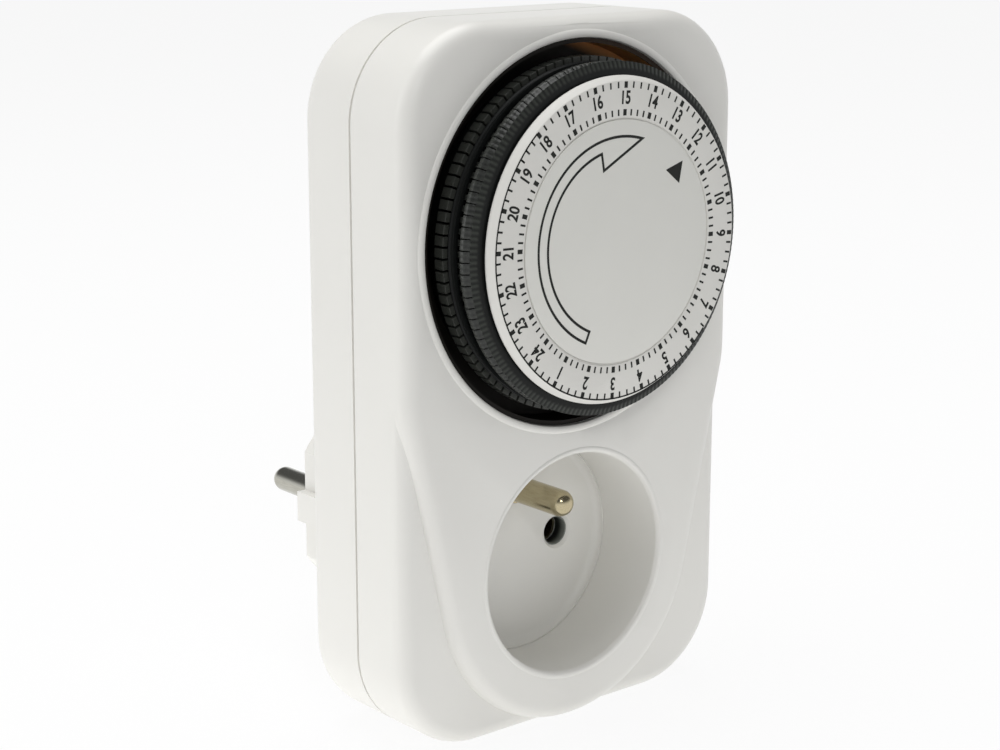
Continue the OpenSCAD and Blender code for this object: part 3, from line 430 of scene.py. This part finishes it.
TICK_RINGS = (("outer_ticks", 26.03), ("inner_ticks", 21.52))
TICK_LENGTH, TICK_WIDTH, TICK_BOLD_WIDTH = 1.05, 0.34, 0.74
NUMBER_RADIUS, NUMBER_SIZE = 23.85, 3.0
NUMBER_WEIGHT = 0.085                # what the strokes gain on each side
NUMBER_WIDTH = 0.80                  # share of the letters' own width
ARC_STEP = 3                         # degrees
MITRE_LEAST = 0.35                   # keeps a sharp corner's mitre short
ARROW_OUT, ARROW_IN = 17.6, 15.6     # radii of the arrow's two arcs
ARROW_TAIL, ARROW_NECK, ARROW_TIP = 245.7, 108, 73.6     # degrees
ARROW_BARB, ARROW_NOTCH = (12.77, 106.2), (ARROW_IN, 105.1)     # radius and degrees
ARROW_LINE = 0.46
TIME_MARK = ((14.38, 12.38), (10.5, 11.15), (13.66, 8.62))
EDGE_LINE_RADIUS, EDGE_LINE_WIDTH = 26.52, 0.27
EDGE_LINE_START = FIRST_HOUR + 18 * HOUR_PITCH
EDGE_LINE_SWEEP = 187                # degrees


def grown(name, tree, values):
    """The plain mesh that a geometry tree makes from these values."""
    holder = bpy.data.objects.new(name, bpy.data.meshes.new(name))
    scene.collection.objects.link(holder)
    modifier = holder.modifiers.new(name, "NODES")
    modifier.node_group = tree
    for item in tree.interface.items_tree:
        if item.in_out == "INPUT" and item.name in values:
            modifier[item.identifier] = values[item.name]
    bpy.context.view_layer.update()
    mesh = bpy.data.meshes.new_from_object(holder.evaluated_get(bpy.context.evaluated_depsgraph_get()))
    bpy.data.objects.remove(holder)
    return mesh


def tick_tree():
    """A ring of small bars, every few of them bolder."""
    group = bpy.data.node_groups.new("tick_ring", "GeometryNodeTree")
    kinds = {"Count": "NodeSocketInt", "Bold Every": "NodeSocketInt", "Start Angle": "NodeSocketFloat",
             "Radius": "NodeSocketFloat", "Length": "NodeSocketFloat", "Width": "NodeSocketFloat",
             "Bold Width": "NodeSocketFloat", "Depth": "NodeSocketFloat", "Finish": "NodeSocketMaterial"}
    for name, kind in kinds.items():
        group.interface.new_socket(name, in_out="INPUT", socket_type=kind)
    group.interface.new_socket("Geometry", in_out="OUTPUT", socket_type="NodeSocketGeometry")
    t = Tree(group.nodes, group.links)
    entry = group.nodes.new("NodeGroupInput")
    get = {name: Value(t, entry.outputs[name]) for name in kinds}
    index = t.node("GeometryNodeInputIndex")
    angle = index / get["Count"] * math.tau + get["Start Angle"]
    x = angle.maths("COSINE") * get["Radius"]
    y = angle.maths("SINE") * get["Radius"]
    points = t.node("GeometryNodePoints", None, {
        "Count": get["Count"], "Position": t.node("ShaderNodeCombineXYZ", None, {0: x, 1: y})})
    bar = t.node("GeometryNodeMeshCube", None, {
        "Size": t.node("ShaderNodeCombineXYZ", None, {0: get["Length"], 1: 1.0, 2: get["Depth"]})})
    bold = (index % get["Bold Every"]) < 0.5
    width = bold * get["Bold Width"] + (1 - bold) * get["Width"]
    bars = t.node("GeometryNodeInstanceOnPoints", None, {
        "Points": points, "Instance": bar,
        "Rotation": t.node("ShaderNodeCombineXYZ", None, {2: angle}),
        "Scale": t.node("ShaderNodeCombineXYZ", None, {0: 1.0, 1: width, 2: 1.0})})
    real = t.node("GeometryNodeRealizeInstances", None, {"Geometry": bars})
    dressed = t.node("GeometryNodeSetMaterial", None, {"Geometry": real, "Material": get["Finish"]})
    leave = group.nodes.new("NodeGroupOutput")
    t.put(leave.inputs[0], dressed)
    return group


def on_dial(mesh, face_z):
    mesh.transform(TO_PART @ Matrix.Translation((0, DIAL_Y, face_z)))
    return mesh


def joined(meshes):
    work = bmesh.new()
    for mesh in meshes:
        work.from_mesh(mesh)
        bpy.data.meshes.remove(mesh)
    bmesh.ops.recalc_face_normals(work, faces=work.faces)
    made = bpy.data.meshes.new("joined")
    work.to_mesh(made)
    work.free()
    return made


TICKS = tick_tree()
for name, radius in TICK_RINGS:
    bars = grown(name, TICKS, {
        "Count": TAPPETS, "Bold Every": TAPPETS // HOURS, "Start Angle": math.radians(FIRST_HOUR),
        "Radius": radius, "Length": TICK_LENGTH, "Width": TICK_WIDTH, "Bold Width": TICK_BOLD_WIDTH,
        "Depth": INK_DEPTH, "Finish": INK})
    place(piece_from(name, on_dial(bars, RING_FACE), INK), "dial", "drum_black")


def numeral(hour):
    """An hour's number, with its top outwards."""
    words = bpy.data.curves.new("numeral", "FONT")
    words.body = str(hour)
    words.align_x, words.align_y = "CENTER", "CENTER"
    words.size, words.extrude, words.offset = NUMBER_SIZE, INK_DEPTH / 2, NUMBER_WEIGHT
    words.resolution_u = 4
    holder = bpy.data.objects.new("numeral", words)
    scene.collection.objects.link(holder)
    bpy.context.view_layer.update()
    mesh = bpy.data.meshes.new_from_object(holder.evaluated_get(bpy.context.evaluated_depsgraph_get()))
    bpy.data.objects.remove(holder)
    angle = math.radians(FIRST_HOUR + hour * HOUR_PITCH)
    mesh.transform(Matrix.Rotation(angle, 4, "Z") @ Matrix.Translation((NUMBER_RADIUS, 0, 0))
                   @ Matrix.Rotation(-math.pi / 2, 4, "Z") @ Matrix.Diagonal((NUMBER_WIDTH, 1, 1, 1)))
    return mesh


numbers = joined([numeral(hour) for hour in range(1, HOURS + 1)])
place(piece_from("hour_numbers", on_dial(numbers, RING_FACE), INK), "dial", "drum_black")


def polar(radius, degrees):
    return Vector((radius * math.cos(math.radians(degrees)), radius * math.sin(math.radians(degrees))))


def arc(radius, start, end):
    count = max(2, round(abs(end - start) / ARC_STEP))
    return [polar(radius, start + (end - start) * i / count) for i in range(count + 1)]


def ribbon(points, width, closed=True):
    """A line of one width along points, as a thin solid with mitred corners."""
    count = len(points)
    sides = []
    for i, p in enumerate(points):
        before = points[i - 1] if closed or i else points[i]
        after = points[(i + 1) % count] if closed or i < count - 1 else points[i]
        first, second = (p - before), (after - p)
        first = first.normalized() if first.length > 0 else second.normalized()
        second = second.normalized() if second.length > 0 else first
        normal = Vector((-first.y - second.y, first.x + second.x)).normalized()
        reach = width / 2 / max(normal.dot(Vector((-first.y, first.x))), MITRE_LEAST)
        sides.append((p - normal * reach, p + normal * reach))
    work = bmesh.new()
    rings = [[work.verts.new((*q, z)) for q, z in
              ((a, -INK_DEPTH / 2), (b, -INK_DEPTH / 2), (b, INK_DEPTH / 2), (a, INK_DEPTH / 2))]
             for a, b in sides]
    for i in range(count if closed else count - 1):
        here, there = rings[i], rings[(i + 1) % count]
        for k in range(4):
            work.faces.new((here[k], here[(k + 1) % 4], there[(k + 1) % 4], there[k]))
    if not closed:
        work.faces.new(rings[0])
        work.faces.new(rings[-1][::-1])
    bmesh.ops.recalc_face_normals(work, faces=work.faces)
    mesh = bpy.data.meshes.new("ribbon")
    work.to_mesh(mesh)
    work.free()
    return mesh


def printed_plate(points):
    """A filled outline as a thin solid."""
    work = bmesh.new()
    face = work.faces.new([work.verts.new((p.x, p.y, -INK_DEPTH / 2)) for p in points])
    made = bmesh.ops.extrude_face_region(work, geom=[face])
    bmesh.ops.translate(work, verts=[v for v in made["geom"] if isinstance(v, bmesh.types.BMVert)],
                        vec=(0, 0, INK_DEPTH))
    bmesh.ops.recalc_face_normals(work, faces=work.faces)
    mesh = bpy.data.meshes.new("plate")
    work.to_mesh(mesh)
    work.free()
    return mesh


arrow_points = (arc(ARROW_OUT, ARROW_TAIL, ARROW_TIP) + [polar(*ARROW_BARB), polar(*ARROW_NOTCH)]
                + arc(ARROW_IN, ARROW_NECK, ARROW_TAIL))
arrow = ribbon(arrow_points, ARROW_LINE)
place(piece_from("turning_arrow", on_dial(arrow, DISC_FACE), INK), "case", "drum_black")

marker = printed_plate([Vector(corner) for corner in TIME_MARK])
place(piece_from("time_mark", on_dial(marker, DISC_FACE), INK), "case", "drum_black")

edge_line = ribbon(arc(EDGE_LINE_RADIUS, EDGE_LINE_START, EDGE_LINE_START + EDGE_LINE_SWEEP),
                   EDGE_LINE_WIDTH, closed=False)
place(piece_from("ring_edge_line", on_dial(edge_line, RING_FACE), INK), "dial", "drum_black")


# ---------------------------------------------------------------- turned trims

def turned(name, finish, outline, body, slot, steps=192, centre=(0, DIAL_Y), ribs=0.0):
    """A closed ring from an outline of (radius, forward) points; ribs cut its outer points by that much."""
    rim = max(radius for radius, _ in outline)
    work = bmesh.new()
    rings = []
    for i in range(steps):
        angle = math.tau * i / steps
        cut = ribs * (i % 2)
        points = [(radius - cut if radius > rim - 1e-6 else radius, forward) for radius, forward in outline]
        across, along = math.cos(angle), math.sin(angle)
        rings.append([work.verts.new(front(centre[0] + r * across, centre[1] + r * along, z))
                      for r, z in points])
    for i in range(steps):
        here, there = rings[i], rings[(i + 1) % steps]
        for k in range(len(outline)):
            nxt = (k + 1) % len(outline)
            work.faces.new((here[k], here[nxt], there[nxt], there[k]))
    bmesh.ops.recalc_face_normals(work, faces=work.faces)
    smooth_by_angle(work)
    mesh = bpy.data.meshes.new(name)
    work.to_mesh(mesh)
    work.free()
    return place(piece_from(name, mesh, finish), body, slot)


# Flange of the drum under the number ring: a flat, and a ribbed slope that ends just above the tappets' heads
turned("drum_rim", ribbed_black(),
       [(RING_EDGE - 0.6, HEAD_TOP + 0.07), (RING_EDGE + 2.25, HEAD_TOP + 0.07),
        (RING_EDGE + 2.25, HEAD_TOP + 0.14), (RING_EDGE + 1.1, HEAD_TOP + 0.6),
        (RING_EDGE - 0.2, HEAD_TOP + 0.64), (RING_EDGE - 0.2, RING_BACK - 0.02),
        (RING_EDGE - 0.6, RING_BACK - 0.02)],
       "dial", "drum_black", steps=4 * TAPPETS, ribs=0.05)
# Step in the number ring's bore, beside the disc's edge
turned("ring_bore_step", RING,
       [(DISC_EDGE + 0.05, RING_FACE - 0.9), (DISC_EDGE + 0.4, RING_FACE - 0.9),
        (DISC_EDGE + 0.4, RING_FACE - 0.2), (DISC_EDGE + 0.05, RING_FACE - 0.24)],
       "dial", "ring_white")
# Thin sleeves inside the contact holes, grey at the mouth and darkened further in with painted shade
SHADE = sleeve_shade()
for name, x in (("contact_shade_left", -CONTACT_X), ("contact_shade_right", CONTACT_X)):
    turned(name, SHADE,
           [(CONTACT_HOLE - 0.2, RECESS_FLOOR - 3.4), (CONTACT_HOLE - 0.02, RECESS_FLOOR - 3.4),
            (CONTACT_HOLE - 0.02, RECESS_FLOOR - 0.6), (CONTACT_HOLE - 0.2, RECESS_FLOOR - 0.68)],
           "case", "plate_black", steps=48, centre=(x, 0))
# Low rounded lips round the well and the recess: (out from the edge, forward of the panel)
for name, edge, centre, lip in (
        ("well_lip", WELL_EDGE, (0, DIAL_Y),
         [(0.03, -0.55), (0.03, -0.05), (0.12, 0.12), (0.33, 0.24), (0.68, 0.28), (1.02, 0.22), (1.3, 0.08),
          (1.45, -0.06), (1.45, -0.3)]),
        ("recess_lip", RECESS_EDGE, (0, 0),
         [(0.25, -0.5), (0.3, -0.12), (0.48, 0.03), (0.7, 0.09), (0.95, 0.09), (1.15, 0.03), (1.25, -0.04),
          (1.25, -0.3)])):
    turned(name, WHITE, [(edge + out, PANEL + rise) for out, rise in lip], "case", "housing_white",
           centre=centre)


# ---------------------------------------------------------------- floor, light and camera

FLOOR_GLOW = 1.0
FLOOR_GLOW_SHARE = 0.9
BOUNCE = 0.49
BOUNCE_Y = -30           # millimetres, under the front of the case
BOUNCE_FADE = (60, 240)  # millimetres from there, full light to none
WORLD_LIGHT = 0.34
WORLD_TINT = (0.97, 0.98, 1.0)
SHINE_LEVEL = 1.0        # what metal mirrors at eye level: the white background
SHINE_ABOVE = 0.12       # and overhead
SHINE_FADE = (0.02, 0.45)                # heights of a mirrored direction, from one to the other
FLOOR_HALF = 2.2         # metres


def stage_white():
    """Pale floor: white with a shadow to the camera and to metals, and it throws soft light back up."""
    f = Finish("stage_white")
    rays = f.nodes.new("ShaderNodeLightPath")
    seen = Value(f, rays.outputs["Is Camera Ray"]) + Value(f, rays.outputs["Is Glossy Ray"])
    plain = f.nodes.new("ShaderNodeBsdfDiffuse")
    f.put(plain.inputs["Color"], f.mix(f.noise(40, 2), (0.86, 0.86, 0.86), (0.9, 0.9, 0.9)))
    glow = f.nodes.new("ShaderNodeEmission")
    f.put(glow.inputs["Strength"], FLOOR_GLOW)
    shown = f.nodes.new("ShaderNodeMixShader")
    f.put(shown.inputs[0], FLOOR_GLOW_SHARE)
    f.links.new(plain.outputs[0], shown.inputs[1])
    f.links.new(glow.outputs[0], shown.inputs[2])
    x, y = f.axis("X"), f.axis("Y") - BOUNCE_Y
    reach = (x * x + y * y).maths("SQRT")
    bounce = f.nodes.new("ShaderNodeEmission")
    f.put(bounce.inputs["Color"], f.mix(f.ease(reach, *BOUNCE_FADE), (1.0, 1.0, 1.0), (0.0, 0.0, 0.0)))
    f.put(bounce.inputs["Strength"], BOUNCE)
    unseen = f.nodes.new("ShaderNodeAddShader")
    f.links.new(plain.outputs[0], unseen.inputs[0])
    f.links.new(bounce.outputs[0], unseen.inputs[1])
    both = f.nodes.new("ShaderNodeMixShader")
    f.put(both.inputs[0], seen)
    f.links.new(unseen.outputs[0], both.inputs[1])
    f.links.new(shown.outputs[0], both.inputs[2])
    out = f.nodes.new("ShaderNodeOutputMaterial")
    f.links.new(both.outputs[0], out.inputs["Surface"])
    return f.material


def floor():
    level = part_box("rear_housing")[0].z
    work = bmesh.new()
    work.faces.new([work.verts.new((x * FLOOR_HALF, y * FLOOR_HALF, level)) for x, y in
                    ((-1, -1), (1, -1), (1, 1), (-1, 1))])
    mesh = bpy.data.meshes.new("floor")
    work.to_mesh(mesh)
    work.free()
    piece_from("floor", mesh, stage_white())


def lamp(name, at, aim, size, power):
    light = bpy.data.lights.new(name, "AREA")
    light.shape, light.size, light.size_y = "RECTANGLE", size[0], size[1]
    light.energy = power
    made = bpy.data.objects.new(name, light)
    made.location = at
    made.rotation_mode = "QUATERNION"
    made.rotation_quaternion = (Vector(aim) - Vector(at)).to_track_quat("-Z", "Y")
    made.visible_camera = False
    scene.collection.objects.link(made)


def surroundings():
    world = bpy.data.worlds.new("studio")
    scene.world = world
    world.use_nodes = True
    w = Tree(world.node_tree.nodes, world.node_tree.links)
    w.nodes.clear()
    rays = w.nodes.new("ShaderNodeLightPath")
    seen = Value(w, rays.outputs["Is Camera Ray"])
    mirrored = Value(w, rays.outputs["Is Glossy Ray"])
    split = w.nodes.new("ShaderNodeSeparateXYZ")
    w.put(split.inputs[0], w.node("ShaderNodeTexCoord", output="Generated"))
    overhead = w.node("ShaderNodeMapRange", {"interpolation_type": "SMOOTHSTEP"},
                      {0: Value(w, split.outputs["Z"]), 1: SHINE_FADE[0], 2: SHINE_FADE[1],
                       3: SHINE_LEVEL, 4: SHINE_ABOVE})
    light = mirrored * (overhead - WORLD_LIGHT) + WORLD_LIGHT
    tone = w.node("ShaderNodeMix", {"data_type": "RGBA"},
                  {0: seen, 6: rgba(WORLD_TINT), 7: (1, 1, 1, 1)}, output=2)
    back = w.nodes.new("ShaderNodeBackground")
    w.put(back.inputs["Color"], tone)
    w.put(back.inputs["Strength"], seen * (1 - light) + light)
    out = w.nodes.new("ShaderNodeOutputWorld")
    w.links.new(back.outputs[0], out.inputs["Surface"])


def camera():
    """The viewing place, fitted to the front view's lines."""
    right = Vector((0.7681, -0.6403, 0.0))
    up = Vector((0.1506, 0.1807, 0.9719))
    ahead = Vector((0.6223, 0.7465, -0.2352))
    turn = Matrix((right, up, -ahead)).transposed()
    lens = bpy.data.cameras.new("camera")
    lens.lens, lens.sensor_width = 77.03, 36.0
    lens.shift_x, lens.shift_y = -0.0008, -0.0015
    lens.clip_start, lens.clip_end = 0.01, 20
    made = bpy.data.objects.new("camera", lens)
    made.matrix_world = Matrix.Translation(Vector((-238.9, -325.4, 120.7)) * MM) @ turn.to_4x4()
    scene.collection.objects.link(made)
    scene.camera = made


floor()
surroundings()
lamp("side", (-0.80, 0.25, 0.30), (0, 0.02, 0.03), (0.6, 0.8), 2.4)
lamp("above", (0.0, 0.05, 0.9), (0, -0.03, 0.03), (0.8, 0.8), 6.0)
lamp("small", (-0.40, -0.72, 0.50), (0, -0.05, 0.05), (0.12, 0.12), 0.8)
camera()
